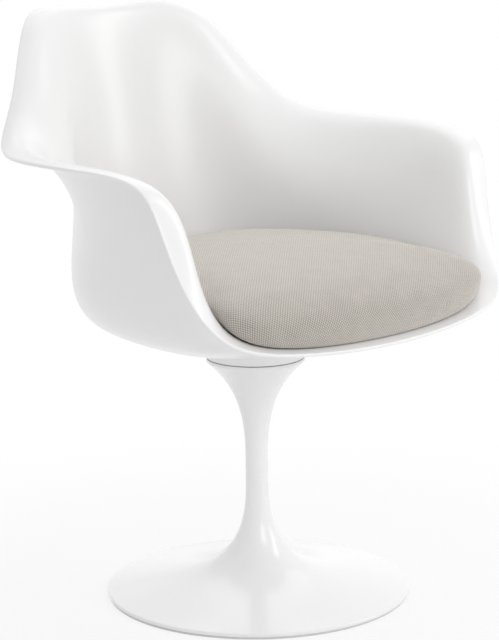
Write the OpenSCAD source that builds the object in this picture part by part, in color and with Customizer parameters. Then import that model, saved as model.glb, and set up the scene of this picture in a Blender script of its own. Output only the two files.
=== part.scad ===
// Swivelling armchair: a moulded shell seat on a cast trumpet pedestal.
// Millimetres. The floor is z = 0, the swivel axis is the Z axis and the sitter faces -Y.

/* [Seat shell] */
// Overall width over the arms
shell_w = 676; // [600:1:760]
// Depth of the shell, front lip to back lip
shell_d = 600; // [540:1:660]
// Height of the back above the underside of the shell
shell_rise = 456; // [400:1:520]
// Thickness of the laminate in the walls
wall_t = 7; // [5:0.5:9]
// Thickness of the laminate in the flat floor
floor_t = 9; // [8:0.5:12]
// Thickness of the laminate at its free edge
edge_t = 4.5; // [4:0.5:6]
// Width of the rolled lip
lip_w = 35; // [25:1:45]
// Half width of the bowl at the seat
bowl_half_w = 221; // [200:1:240]
// Depth of the bowl behind the swivel axis
bowl_back_d = 237; // [210:1:255]
// Depth of the bowl in front of the swivel axis, before it climbs to the front lip
bowl_front_d = 182; // [165:1:200]
// How far the bowl has climbed over the floor where the walls begin
bowl_climb = 25; // [15:1:32]
// Radius of the round floor before it climbs to the bowl
floor_r = 112; // [104:1:120]
// How far the walls swell out or draw in
wall_swell = 20; // [10:1:24]

/* [Pedestal] */
// Diameter of the foot
foot_d = 426; // [380:1:480]
// Height of the seam between pedestal and seat
seam_z = 339; // [320:1:360]
// Diameter of the stem at its waist
stem_d = 32; // [30:0.5:36]
// Diameter of the cup under the seat
cup_d = 138; // [134:1:146]
// Height of the square edge of the foot
foot_edge_h = 6; // [5:0.5:9]
// Wall of the casting
cast_t = 5; // [4:0.5:5.5]
// Height of the glide ring
glide_h = 3.5; // [3:0.5:5]
// Width of the glide ring
glide_w = 14; // [10:1:18]
// How far the glide ring stands below the casting
glide_stand = 2; // [1:0.5:2.5]

/* [Swivel] */
// Diameter of the spindle in its bushes
spindle_d = 25; // [22:0.5:26]
// Wall of the bushes
bush_t = 3.5; // [3:0.5:4]
// Length of each bush
bush_l = 25; // [20:1:28]
// Running clearance of the spindle in its bushes, on the radius
run_gap = 0.05; // [0.02:0.01:0.1]
// Gap in the seam between the cup and the collar
seam_gap = 1; // [0.8:0.1:1.5]
// Thickness of the thrust washer
washer_t = 2; // [1.5:0.5:3]
// Height of the shoulder on the spindle
shoulder_h = 4.5; // [4:0.5:5]

/* [Collar] */
// Height of the collar casting under the shell
collar_h = 18; // [17:1:24]
// Diameter of the collar at the seam
collar_d = 139; // [137:1:148]
// Diameter of the collar under the shell
collar_top_d = 156; // [150:1:162]
// Circle of the screws that hold the shell
shell_screw_pcd = 96; // [90:1:104]
// Diameter of the screws that hold the shell
shell_screw_d = 6; // [5:1:6]

/* [Seat cushion] */
// Height of the crown of the cushion above the shell floor
cushion_h = 133; // [122:1:140]
// Thickness of the cover fabric
cover_t = 1.2; // [0.8:0.1:1.6]
// How far the cushion side swells out over its lower edge
cushion_swell = 12; // [6:1:14]
// Gap between the cushion and the shell at the lower edge
cushion_gap = 3.5; // [3.2:0.1:4]

/* [Hidden] */
$fn = 96;

// Overrun of every cut
over = 1;

// The shell is a smooth net. Thirteen stations run round one half of the free edge, from the
// middle of the front to the middle of the back, and the other half is its mirror image.
// Place of the free edge across, as shares of half the width
rim_across_shares = [0, 0.485, 0.77, 0.835, 0.885, 0.91, 1, 0.995, 0.86, 0.655, 0.505, 0.325, 0];
// Place of the free edge along the depth, as shares of the depth, from the swivel axis
rim_along_shares = [-0.445, -0.425, -0.385, -0.3, -0.26, -0.225, -0.065, 0.15, 0.325, 0.4, 0.485, 0.555, 0.565];
// Height of the free edge over the underside, as shares of the rise
rim_height_shares = [0.085, 0.105, 0.145, 0.295, 0.49, 0.605, 0.62, 0.615, 0.615, 0.75, 0.965, 1.015, 0.955];
// The crest of the lip, measured from the free edge, as shares of the lip width
lip_across_shares = [0, -0.15, -0.6, -0.9, -1.4, -1.25, -1.05, -1.1, -1.05, -0.75, -0.7, -0.6, 0];
lip_along_shares = [0.85, 0.85, 0.75, 0, -0.3, 0.1, 0.1, -0.25, -0.55, -0.3, -0.6, -0.95, -0.95];
lip_height_shares = [0.3, 0.05, 0.25, 0.35, 0.15, 0, 0.2, 0.4, 0.6, 0.3, -0.15, 0.2, 0.75];
// Heading of each station round the bowl, as shares of half a turn from the front
heading_shares = [0, 0.12, 0.23, 0.32, 0.39, 0.445, 0.51, 0.585, 0.665, 0.74, 0.815, 0.905, 1];
// Swell of the lower and the upper wall, as shares of the wall swell
low_swell_shares = [-0.6, -0.5, -0.35, -0.1, 0.05, 0.05, 0, -0.1, -0.4, -0.7, -0.45, -0.25, 0];
high_swell_shares = [-0.55, -0.3, -0.1, 0.15, 0.35, 0.15, -0.75, -2, -3, -2.65, -1.4, -0.3, 0.35];
// Heights of the lower and the upper wall ring between the bowl and the crest
low_wall_share = 0.3;
high_wall_share = 0.68;
// Radius of the flat middle of the floor, as a share of the round floor
flat_ring_share = 0.84;
// Squareness of the bowl in plan
bowl_power = 2.65;
STATIONS = 24;
HALF = 12;
// Columns between two stations, and rows between two rings of the net
COLS = 3;
ROWS = 4;
LAST_RING = 7;
LIP_RINGS = 2;

under_z = seam_z + collar_h;
floor_z = under_z + floor_t;

function side(i) = i > HALF ? -1 : 1;
function wrap(i) = (i + STATIONS) % STATIONS;
function fold(i) = i > HALF ? STATIONS - i : i;
function power_round(a) = pow(pow(abs(sin(a)), bowl_power) + pow(abs(cos(a)), bowl_power), -1 / bowl_power);
function unit_plan(p) = let (l = norm([p[0], p[1]])) l == 0 ? [0, 0, 0] : [p[0] / l, p[1] / l, 0];

// Rings of the net at one station of the half: pole, flat, floor, bowl, lower wall, upper wall,
// crest and free edge
function rim_at(k) = [
    rim_across_shares[k] * shell_w / 2,
    rim_along_shares[k] * shell_d,
    under_z + rim_height_shares[k] * shell_rise];
function crest_at(k) = rim_at(k) + lip_w * [lip_across_shares[k], lip_along_shares[k], lip_height_shares[k]];
function bowl_at(k) = let (a = heading_shares[k] * 180, q = power_round(a))
    [bowl_half_w * sin(a) * q, -(cos(a) > 0 ? bowl_front_d : bowl_back_d) * cos(a) * q, floor_z + bowl_climb];
function floor_at(k, r) = let (a = heading_shares[k] * 180) [r * sin(a), -r * cos(a), floor_z];
function wall_at(k, share, swell) = let (p = crest_at(k) * share + bowl_at(k) * (1 - share))
    p + wall_swell * swell * unit_plan(p);
function half_net(k) = [
    [0, 0, floor_z],
    floor_at(k, floor_r * flat_ring_share),
    floor_at(k, floor_r),
    bowl_at(k),
    wall_at(k, low_wall_share, low_swell_shares[k]),
    wall_at(k, high_wall_share, high_swell_shares[k]),
    crest_at(k),
    rim_at(k)];
HALF_NET = [for (k = [0:HALF]) half_net(k)];
function net(i, j) = let (w = wrap(i), p = HALF_NET[fold(w)])
    j < 0 ? 2 * net(i, 0) - net(i, 1) :
    j > LAST_RING ? 2 * net(i, LAST_RING) - net(i, LAST_RING - 1) :
    [side(w) * p[j][0], p[j][1], p[j][2]];

// Uniform cubic blend of four neighbours
function blend4(t) = [pow(1 - t, 3), 3 * pow(t, 3) - 6 * pow(t, 2) + 4,
    -3 * pow(t, 3) + 3 * pow(t, 2) + 3 * t + 1, pow(t, 3)] / 6;
function section(i, v) = let (s = min(floor(v), LAST_RING - 1), b = blend4(v - s))
    b[0] * net(i, s - 1) + b[1] * net(i, s) + b[2] * net(i, s + 1) + b[3] * net(i, s + 2);
function shell_at(u, v) = let (s = floor(u), b = blend4(u - s))
    b[0] * section(s - 1, v) + b[1] * section(s, v) + b[2] * section(s + 1, v) + b[3] * section(s + 2, v);
function normal_at(u, v) = let (
    h = 0.05,
    du = shell_at(u + h, v) - shell_at(u - h, v),
    dv = shell_at(u, min(v + h, LAST_RING)) - shell_at(u, max(v - h, h)),
    n = cross(dv, du))
    n / norm(n);

US = [for (i = [0:STATIONS * COLS - 1]) i / COLS];
// Rows of the shell: the floor is flat up to ring one, so it needs no row before it
VS = [for (k = [ROWS:LAST_RING * ROWS]) k / ROWS];
function thickness(v) = floor_t + (wall_t - floor_t) * min(1, max(0, v - 1)) +
    (edge_t - wall_t) * min(1, max(0, (v - LAST_RING + LIP_RINGS) / LIP_RINGS));

// A closed skin over a stack of rings. A ring of one point is a pole. Each patch between two rings
// is split along one diagonal, and the other way splits it along the other, so that two pieces
// that share a stack in opposite orders meet face to face. The odd row is split against the rest.
module skin(rings, other_way = false, odd_row = 0) {
    n = len(rings[1]);
    last = len(rings) - 1;
    points = [for (r = rings) for (p = r) p];
    function id(k, i) = k == 0 ? 0 : 1 + (k - 1) * n + (k == last ? 0 : i % n);
    function turned(k) = other_way != (k == odd_row);
    faces = concat(
        [for (i = [0:n - 1]) [id(0, 0), id(1, i), id(1, i + 1)]],
        [for (k = [1:last - 2]) for (i = [0:n - 1])
            [id(k, i), id(k + 1, i), turned(k) ? id(k + 1, i + 1) : id(k, i + 1)]],
        [for (k = [1:last - 2]) for (i = [0:n - 1])
            [id(k, i + 1), turned(k) ? id(k, i) : id(k + 1, i), id(k + 1, i + 1)]],
        [for (i = [0:n - 1]) [id(last - 1, i), id(last, 0), id(last - 1, i + 1)]]);
    polyhedron(points, faces);
}

// A smooth curve through four handles
function bezier(p, n) = [for (k = [0:n]) let (t = k / n)
    pow(1 - t, 3) * p[0] + 3 * t * pow(1 - t, 2) * p[1] + 3 * pow(t, 2) * (1 - t) * p[2] + pow(t, 3) * p[3]];
BENDS = 16;

module ring(outer_r, inner_r, z0, z1) {
    difference() {
        translate([0, 0, z0]) cylinder(r = outer_r, h = z1 - z0);
        translate([0, 0, z0 - over]) cylinder(r = inner_r, h = z1 - z0 + 2 * over);
    }
}

module around(count, radius, start = 0) {
    for (k = [0:count - 1]) rotate([0, 0, start + k * 360 / count]) translate([radius, 0, 0]) children();
}

// Sizes of the pedestal casting
foot_r = foot_d / 2;
stem_r = stem_d / 2;
cup_r = cup_d / 2;
cup_top_z = seam_z - seam_gap;
cup_lip_h = 4;
foot_top_z = glide_stand + foot_edge_h;
edge_round = 1.5;
stem_low_share = 0.46;
stem_high_share = 0.59;
foot_handle_across_share = 0.38;
foot_handle_up_share = 0.16;
stem_handle_up_share = 0.13;
neck_handle_up_share = 0.56;
cup_handle_across_share = 0.44;
cup_handle_up_share = 0.8;
stem_low_z = seam_z * stem_low_share;
stem_high_z = seam_z * stem_high_share;
foot_ribs = 6;
cup_ribs = 3;
rib_t = 4;

// Sizes of the swivel
spindle_r = spindle_d / 2;
bush_in_r = spindle_r + run_gap;
bush_out_r = bush_in_r + bush_t;
boss_wall = 8;
boss_r = bush_out_r + boss_wall;
boss_flange_w = 10;
boss_flange_r = boss_r + boss_flange_w;
boss_flange_h = 12;
boss_depth = 13;
boss_top_z = cup_top_z - boss_depth;
cup_floor_depth = 42;
cup_floor_z = cup_top_z - cup_floor_depth;
well_depth = 75;
well_z = boss_top_z - well_depth;
bush_flange_t = 2;
bush_flange_w = 3;
bush_flange_r = bush_out_r + bush_flange_w;
washer_z = boss_top_z + bush_flange_t;
shoulder_z = washer_z + washer_t;
shoulder_r = bush_flange_r;
shoulder_top_z = shoulder_z + shoulder_h;
neck_r = spindle_r + edge_round;
drive_r = spindle_r - edge_round / 2;
drive_flat_share = 0.82;
drive_gap = 0.05;
cap_gap = 0.4;
cap_flange_t = 4;
cap_wall = 3;
cap_in_r = shoulder_r + cap_gap;
cap_in_top_z = shoulder_top_z + cap_gap;
cap_top_z = cap_in_top_z + cap_wall;
cap_screw_d = 4;
cap_screw_l = 14;
cap_screw_count = 3;
cap_screw_ring = (cap_in_r + cap_wall + boss_flange_r) / 2;

// Sizes of the collar
collar_r = collar_d / 2;
collar_top_r = collar_top_d / 2;
collar_edge = 1.5;
collar_plate_t = 9;
collar_skirt_h = 3;
collar_handle_share = 0.35;
hub_boss_wall = 8;
hub_boss_r = drive_r + hub_boss_wall;
hub_boss_drop = 0.5;
hub_boss_top_z = floor_z - hub_boss_drop;
hub_skirt_wall = 6;
hub_bolt_d = 8;
hub_bolt_head_d = 13;
hub_bolt_head_h = 5;
hub_bolt_l = 22;
hub_bolt_washer_d = 16;
hub_bolt_washer_t = 1;
hub_pocket_r = hub_bolt_washer_d / 2 + edge_round;
hub_pocket_z = hub_boss_top_z - hub_bolt_head_h - hub_bolt_washer_t;
hub_web_t = 3.5;
drive_top_z = hub_pocket_z - hub_web_t;
spindle_top_gap = 0.5;
spindle_end_gap = 2;
spigot_gap = 0.3;

// Sizes of the fixings under the cushion
spreader_r = 60;
spreader_t = 3;
shell_screw_l = 19;
shell_screw_count = 4;
screw_hole_gap = 0.3;
head_share = 2;
socket_share = 0.55;
strip_in_r = 62;
strip_out_r = 79;
strip_t = 1.8;
strip_angle = 54;
strip_gap = 0.3;

// Sizes of the cushion
cushion_lift = 2 * strip_t + strip_gap;
crown_z = floor_z + cushion_h;
top_power = 2.2;
// Lower edge of the cushion up the shell, as shares of its rings
cushion_reach_shares = [0.945, 0.945, 0.935, 0.6, 0.54, 0.485, 0.455, 0.45, 0.455, 0.455, 0.445, 0.43, 0.43];
// Swell of the cushion side, as shares of the cushion swell
cushion_swell_shares = [0.5, 0.5, 0.6, 0.3, 0.4, 0.5, 0.7, 0.8, 0.7, 0.7, 0.8, 0.8, 0.8];
// Height of the widest line of the cushion, as shares from the lower edge up to the crown
cushion_belt_shares = [0.5, 0.46, 0.26, 0.22, 0.52, 0.64, 0.66, 0.58, 0.5, 0.42, 0.4, 0.4, 0.4];
// Rows of the underside between the flat floor and the lower edge
under_row_shares = [0, 0.25, 0.45, 0.62, 0.77, 0.9];
// Rows of the side, in shares of a quarter turn, and rows of the crown, in shares of its reach
side_row_shares = [0.33, 0.67, 1];
crown_row_shares = [0.985, 0.94, 0.86, 0.74, 0.58, 0.4, 0.2];
zip_l = 90;
zip_w = 10;
zip_t = 0.8;
zip_teeth_w = 3;
zip_y = 87;

// Bodies of revolution
function offset_left(p, d) = [for (k = [0:len(p) - 1]) let (
    a = p[max(0, k - 1)], b = p[min(len(p) - 1, k + 1)], t = (b - a) / norm(b - a))
    p[k] + d * [-t[1], t[0]]];
foot_curve = bezier([
    [foot_r - edge_round, foot_top_z],
    [stem_r + foot_handle_across_share * (foot_r - stem_r),
        foot_top_z + foot_handle_up_share * (stem_low_z - foot_top_z)],
    [stem_r, foot_top_z + stem_handle_up_share * (stem_low_z - foot_top_z)],
    [stem_r, stem_low_z]], BENDS);
cup_curve_top_z = cup_top_z - cup_lip_h;
cup_curve = bezier([
    [stem_r, stem_high_z],
    [stem_r, stem_high_z + neck_handle_up_share * (cup_curve_top_z - stem_high_z)],
    [stem_r + cup_handle_across_share * (cup_r - stem_r),
        stem_high_z + cup_handle_up_share * (cup_curve_top_z - stem_high_z)],
    [cup_r, cup_curve_top_z]], BENDS);
foot_inside = offset_left(foot_curve, cast_t);
cup_inside = [for (p = offset_left(cup_curve, cast_t)) if (p[1] > cup_floor_z && p[1] < cup_curve_top_z) p];

module pedestal_outline() {
    polygon(concat(
        [[0, glide_stand], [foot_r - edge_round, glide_stand], [foot_r, glide_stand + edge_round],
            [foot_r, foot_top_z - edge_round]],
        foot_curve, cup_curve,
        [[cup_r, cup_top_z - edge_round / 2], [cup_r - edge_round / 2, cup_top_z], [0, cup_top_z]]));
}

module foot_cavity() {
    difference() {
        rotate_extrude() polygon(concat(
            [[0, glide_stand - over], [foot_r - glide_w - cast_t, glide_stand - over],
                [foot_r - glide_w - cast_t, foot_inside[1][1]]],
            [for (p = foot_inside) if (p[0] < foot_r - glide_w - cast_t) p],
            [[stem_r - cast_t, well_z + over], [0, well_z + over]]));
        around(foot_ribs, 0)
            translate([stem_r, -rib_t / 2, foot_top_z + cast_t])
                cube([foot_r, rib_t, stem_low_z]);
    }
}

module cup_cavity() {
    difference() {
        rotate_extrude() polygon(concat(
            [[0, boss_top_z], [boss_flange_r, boss_top_z], [boss_flange_r, boss_top_z - boss_flange_h],
                [boss_r, boss_top_z - boss_flange_h - boss_flange_w], [boss_r, cup_floor_z],
                [cup_inside[0][0], cup_floor_z]],
            cup_inside,
            [[cup_r - cast_t, cup_curve_top_z], [cup_r - cast_t, cup_top_z + over], [0, cup_top_z + over]]));
        around(cup_ribs, 0)
            translate([boss_r - over, -rib_t / 2, cup_floor_z - over])
                cube([cup_r - boss_r - cast_t, rib_t, boss_top_z - boss_flange_h - cup_floor_z]);
    }
}

module pedestal_base() {
    color("white") difference() {
        rotate_extrude() pedestal_outline();
        foot_cavity();
        cup_cavity();
        translate([0, 0, well_z]) cylinder(r = bush_out_r, h = well_depth + over);
        ring(foot_r - edge_round + over, foot_r - edge_round - glide_w, glide_stand - over, glide_h);
        around(cap_screw_count, cap_screw_ring)
            translate([0, 0, boss_top_z - cap_screw_l]) cylinder(d = cap_screw_d, h = cap_screw_l + over);
    }
}

module glide_ring() {
    color("gainsboro") ring(foot_r - edge_round, foot_r - edge_round - glide_w, 0, glide_h);
}

module lower_bush() {
    color("ivory") ring(bush_out_r, bush_in_r, well_z, well_z + bush_l);
}

module upper_bush() {
    color("ivory") {
        ring(bush_out_r, bush_in_r, boss_top_z - bush_l, boss_top_z);
        ring(bush_flange_r, bush_in_r, boss_top_z, washer_z);
    }
}

module thrust_washer() {
    color("goldenrod") ring(bush_flange_r, bush_in_r, washer_z, shoulder_z);
}

module spindle() {
    color("silver") difference() {
        union() {
            rotate_extrude() polygon([
                [0, well_z + spindle_end_gap], [spindle_r - edge_round, well_z + spindle_end_gap],
                [spindle_r, well_z + spindle_end_gap + edge_round], [spindle_r, shoulder_z],
                [shoulder_r - edge_round / 2, shoulder_z], [shoulder_r - edge_round / 2, shoulder_top_z],
                [neck_r, shoulder_top_z], [neck_r, seam_z], [0, seam_z]]);
            intersection() {
                translate([0, 0, seam_z - over])
                    cylinder(r = drive_r, h = drive_top_z - spindle_top_gap - seam_z + over);
                translate([-drive_r, -drive_r * drive_flat_share, seam_z - over])
                    cube([2 * drive_r, 2 * drive_r * drive_flat_share, drive_top_z - seam_z + over]);
            }
        }
        translate([0, 0, hub_pocket_z + hub_bolt_washer_t - hub_bolt_l])
            cylinder(d = hub_bolt_d, h = hub_bolt_l + over);
    }
}

// A flush screw with its head up and a hexagon socket; the head's top is at the origin
module flush_screw(d, l) {
    head_r = d * head_share / 2;
    difference() {
        rotate_extrude() polygon([[0, 0], [head_r, 0], [d / 2, d / 2 - head_r], [d / 2, edge_round - l],
            [d / 2 - edge_round / 2, -l], [0, -l]]);
        translate([0, 0, -d / 2]) cylinder(d = d * socket_share, h = d, $fn = 6);
    }
}

module flush_hole(d, t) {
    head_r = d * head_share / 2;
    translate([0, 0, d / 2 - head_r]) cylinder(r1 = d / 2, r2 = head_r, h = head_r - d / 2);
    translate([0, 0, -t - over]) cylinder(d = d, h = t + over);
    cylinder(r = head_r, h = over);
}

module retaining_cap() {
    color("dimgray") difference() {
        union() {
            ring(boss_flange_r, cap_in_r, boss_top_z, boss_top_z + cap_flange_t);
            ring(cap_in_r + cap_wall, cap_in_r, boss_top_z, cap_top_z);
            ring(cap_in_r + cap_wall, neck_r + cap_gap, cap_in_top_z, cap_top_z);
        }
        around(cap_screw_count, cap_screw_ring)
            translate([0, 0, boss_top_z + cap_flange_t]) flush_hole(cap_screw_d, cap_flange_t);
    }
}

module retaining_cap_screws() {
    color("silver") around(cap_screw_count, cap_screw_ring)
        translate([0, 0, boss_top_z + cap_flange_t]) flush_screw(cap_screw_d, cap_screw_l);
}

module seat_hub() {
    flare = bezier([
        [collar_r, seam_z + collar_skirt_h],
        [collar_r, seam_z + collar_skirt_h + (collar_h - collar_skirt_h) * collar_handle_share],
        [collar_r + (collar_top_r - collar_r) * collar_handle_share, under_z - collar_edge],
        [collar_top_r, under_z - collar_edge]], BENDS);
    color("white") difference() {
        rotate_extrude() polygon(concat(
            [[0, seam_z], [collar_r - collar_edge, seam_z], [collar_r, seam_z + collar_edge]],
            flare,
            [[collar_top_r, under_z], [hub_boss_r, under_z],
                [hub_boss_r, hub_boss_top_z], [0, hub_boss_top_z]]));
        ring(collar_r - hub_skirt_wall, hub_boss_r + hub_skirt_wall, seam_z - over, under_z - collar_plate_t);
        intersection() {
            translate([0, 0, seam_z - over])
                cylinder(r = drive_r + drive_gap, h = drive_top_z - seam_z + over);
            translate([-2 * drive_r, -drive_r * drive_flat_share - drive_gap, seam_z - over])
                cube([4 * drive_r, 2 * drive_r * drive_flat_share + 2 * drive_gap,
                    drive_top_z - seam_z + over]);
        }
        translate([0, 0, seam_z]) cylinder(d = hub_bolt_d, h = hub_boss_top_z - seam_z);
        translate([0, 0, hub_pocket_z]) cylinder(r = hub_pocket_r, h = hub_boss_top_z - hub_pocket_z + over);
        around(shell_screw_count, shell_screw_pcd / 2, 45)
            translate([0, 0, seam_z]) cylinder(d = shell_screw_d, h = under_z - seam_z + over);
    }
}

module hub_bolt() {
    color("silver") difference() {
        union() {
            translate([0, 0, hub_pocket_z + hub_bolt_washer_t])
                cylinder(d = hub_bolt_head_d, h = hub_bolt_head_h);
            translate([0, 0, hub_pocket_z + hub_bolt_washer_t - hub_bolt_l])
                cylinder(d = hub_bolt_d, h = hub_bolt_l + over);
        }
        translate([0, 0, hub_pocket_z + hub_bolt_washer_t + hub_bolt_head_h / 2])
            cylinder(d = hub_bolt_d * 2 * socket_share, h = hub_bolt_head_h, $fn = 6);
    }
}

module hub_bolt_washer() {
    color("silver")
        ring(hub_bolt_washer_d / 2, hub_bolt_d / 2, hub_pocket_z, hub_pocket_z + hub_bolt_washer_t);
}

// The moulded shell: the inside net, the rounded free edge and the offset outside
function inside_point(u, v) = shell_at(u, v);
function outside_point(u, v) = shell_at(u, v) - thickness(v) * normal_at(u, v);
function edge_point(u) = let (
    a = shell_at(u, LAST_RING), b = outside_point(u, LAST_RING), c = shell_at(u, LAST_RING - 0.1))
    (a + b) / 2 + edge_t / 3 * (a - c) / norm(a - c);
module seat_shell() {
    inside = [for (v = VS) [for (u = US) inside_point(u, v)]];
    outside = [for (k = [len(VS) - 1:-1:0]) [for (u = US) outside_point(u, VS[k])]];
    rings = concat([[[0, 0, floor_z]]], inside, [[for (u = US) edge_point(u)]], outside, [[[0, 0, under_z]]]);
    color("white") difference() {
        skin(backwards(rings));
        translate([0, 0, under_z - over]) cylinder(r = hub_boss_r + spigot_gap, h = floor_t + 2 * over);
        around(shell_screw_count, shell_screw_pcd / 2, 45)
            translate([0, 0, under_z - over])
                cylinder(d = shell_screw_d + 2 * screw_hole_gap, h = floor_t + 2 * over);
    }
}

module spreader_plate() {
    color("silver") difference() {
        ring(spreader_r, hub_boss_r + spigot_gap, floor_z, floor_z + spreader_t);
        around(shell_screw_count, shell_screw_pcd / 2, 45)
            translate([0, 0, floor_z + spreader_t]) flush_hole(shell_screw_d, spreader_t);
    }
}

module shell_screws() {
    color("silver") around(shell_screw_count, shell_screw_pcd / 2, 45)
        translate([0, 0, floor_z + spreader_t]) flush_screw(shell_screw_d, shell_screw_l);
}

module strips(z) {
    for (a = [0, 180, 270]) rotate([0, 0, a - strip_angle / 2])
        rotate_extrude(angle = strip_angle)
            translate([strip_in_r, z]) square([strip_out_r - strip_in_r, strip_t]);
}

module hook_strips() {
    color("white") strips(floor_z);
}

module loop_strips() {
    color("lightgray") strips(floor_z + strip_t + strip_gap);
}

// Cushion: the underside follows the shell, the side swells and the top is crowned
function along(shares, u) = let (s = floor(u), b = blend4(u - s))
    b[0] * shares[fold(wrap(s - 1))] + b[1] * shares[fold(wrap(s))] +
    b[2] * shares[fold(wrap(s + 1))] + b[3] * shares[fold(wrap(s + 2))];
function reach(u) = LAST_RING * along(cushion_reach_shares, u);
function under_point(u, w, t) = let (v = 1 + (reach(u) - 1) * w)
    shell_at(u, v) + (cushion_lift + (cushion_gap - cushion_lift) * w + t) * normal_at(u, v);
function low_edge(u, inset) = let (p = under_point(u, 1, cover_t)) p - inset * unit_plan(p);
function swell_z(u) = let (z = low_edge(u, 0)[2]) z + along(cushion_belt_shares, u) * (crown_z - z);
function swell_point(u, inset) = let (p = low_edge(u, inset))
    [p[0], p[1], 0] + cushion_swell * along(cushion_swell_shares, u) * unit_plan(p) + [0, 0, swell_z(u)];
function side_point(u, w, inset) = let (a = low_edge(u, inset), e = swell_point(u, inset), t = w * 90)
    [a[0] + (e[0] - a[0]) * sin(t), a[1] + (e[1] - a[1]) * sin(t), e[2] - (e[2] - a[2]) * cos(t)];
function crown_point(u, s, inset) = let (e = swell_point(u, inset))
    [e[0] * s, e[1] * s, e[2] + (crown_z - inset - e[2]) * pow(1 - pow(s, top_power), 1 / top_power)];
CUSHION_US = [for (i = [0:2 * STATIONS - 1]) i / 2];
function cushion_top(inset) = concat(
    [[[0, 0, crown_z - inset]]],
    [for (k = [len(crown_row_shares) - 1:-1:0])
        [for (u = CUSHION_US) crown_point(u, crown_row_shares[k], inset)]],
    [for (k = [len(side_row_shares) - 1:-1:0])
        [for (u = CUSHION_US) side_point(u, side_row_shares[k], inset)]]);
function panel_top() = concat(
    [[for (u = CUSHION_US) low_edge(u, cover_t)]],
    [for (k = [len(under_row_shares) - 1:-1:0])
        [for (u = CUSHION_US) under_point(u, under_row_shares[k], cover_t)]],
    [[[0, 0, floor_z + cushion_lift + cover_t]]]);
function backwards(r) = [for (k = [len(r) - 1:-1:0]) r[k]];

module cushion_foam() {
    color("khaki") skin(backwards(concat(cushion_top(cover_t), panel_top())), other_way = true);
}

module cushion_cover_top() {
    top = cushion_top(0);
    lining = cushion_top(cover_t);
    color("tan") skin(backwards(concat(top, [[for (u = CUSHION_US) low_edge(u, 0)]],
        [[for (u = CUSHION_US) low_edge(u, cover_t)]], backwards(lining))), odd_row = len(lining));
}

module cushion_cover_base() {
    lower = concat(
        [[[0, 0, floor_z + cushion_lift]]],
        [for (w = under_row_shares) [for (u = CUSHION_US) under_point(u, w, 0)]],
        [[for (u = CUSHION_US) under_point(u, 1, 0)]]);
    color("tan") skin(concat(lower, [[for (u = CUSHION_US) low_edge(u, 0)]], panel_top()));
}

module cushion_zip() {
    color("dimgray") {
        translate([-zip_l / 2, zip_y - zip_w / 2, floor_z + cushion_lift - zip_t])
            cube([zip_l, zip_w, zip_t]);
        translate([-zip_l / 2, zip_y - zip_teeth_w / 2, floor_z + cushion_lift - 2 * zip_t])
            cube([zip_l, zip_teeth_w, 2 * zip_t]);
    }
}

pedestal_base();
glide_ring();
lower_bush();
upper_bush();
thrust_washer();
spindle();
retaining_cap();
retaining_cap_screws();
seat_hub();
hub_bolt();
hub_bolt_washer();
seat_shell();
spreader_plate();
shell_screws();
hook_strips();
loop_strips();
cushion_foam();
cushion_cover_top();
cushion_cover_base();
cushion_zip();
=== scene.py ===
# Pedestal swivel armchair: the looks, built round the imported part. Metres and radians.
import math

import bmesh
import bpy
import numpy as np
from mathutils import Matrix, Vector


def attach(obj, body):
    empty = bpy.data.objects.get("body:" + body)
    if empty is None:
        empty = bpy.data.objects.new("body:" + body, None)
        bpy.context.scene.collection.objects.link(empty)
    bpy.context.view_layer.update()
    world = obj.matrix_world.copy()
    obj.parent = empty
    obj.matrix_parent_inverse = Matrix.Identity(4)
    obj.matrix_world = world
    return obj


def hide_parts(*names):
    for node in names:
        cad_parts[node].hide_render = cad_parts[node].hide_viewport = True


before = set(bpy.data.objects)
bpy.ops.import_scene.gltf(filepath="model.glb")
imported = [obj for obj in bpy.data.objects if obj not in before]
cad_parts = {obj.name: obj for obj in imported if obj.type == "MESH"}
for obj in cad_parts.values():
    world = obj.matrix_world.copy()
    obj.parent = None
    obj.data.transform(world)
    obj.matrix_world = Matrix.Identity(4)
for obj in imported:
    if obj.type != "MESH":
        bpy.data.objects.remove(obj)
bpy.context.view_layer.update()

# The photograph's camera
IMAGE_W = 499
IMAGE_H = 640
FOCAL_PIXELS = 2300.0
SENSOR_MM = 36.0
CAMERA_DISTANCE = 3.119
CAMERA_HEIGHT = 1.047
CAMERA_AZIMUTH = 0.733
CAMERA_YAW = -0.0025
CAMERA_PITCH = 0.2076
CAMERA_ROLL = -0.0128
CAMERA_REACH = 100

# The shell's net: thirteen stations round one half of the free edge, from the middle of the front
# to the middle of the back. The other half is its mirror image. The tables are those of part.scad
SHELL_W = 0.676
SHELL_D = 0.600
SHELL_RISE = 0.456
SEAM_Z = 0.339
COLLAR_H = 0.018
FLOOR_T = 0.009
WALL_T = 0.007
EDGE_T = 0.0045
LIP_W = 0.035
BOWL_HALF_W = 0.221
BOWL_BACK_D = 0.237
BOWL_FRONT_D = 0.182
BOWL_CLIMB = 0.025
FLOOR_R = 0.112
FLAT_RING_SHARE = 0.84
WALL_SWELL = 0.020
LOW_WALL_SHARE = 0.3
HIGH_WALL_SHARE = 0.68
BOWL_POWER = 2.65
RIM_ACROSS = [0, 0.485, 0.77, 0.835, 0.885, 0.91, 1, 0.995, 0.86, 0.655, 0.505, 0.325, 0]
RIM_ALONG = [-0.445, -0.425, -0.385, -0.3, -0.26, -0.225, -0.065, 0.15, 0.325, 0.4, 0.485, 0.555, 0.565]
RIM_HEIGHT = [0.085, 0.105, 0.145, 0.295, 0.49, 0.605, 0.62, 0.615, 0.615, 0.75, 0.965, 1.015, 0.955]
LIP_ACROSS = [0, -0.15, -0.6, -0.9, -1.4, -1.25, -1.05, -1.1, -1.05, -0.75, -0.7, -0.6, 0]
LIP_ALONG = [0.85, 0.85, 0.75, 0, -0.3, 0.1, 0.1, -0.25, -0.55, -0.3, -0.6, -0.95, -0.95]
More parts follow.
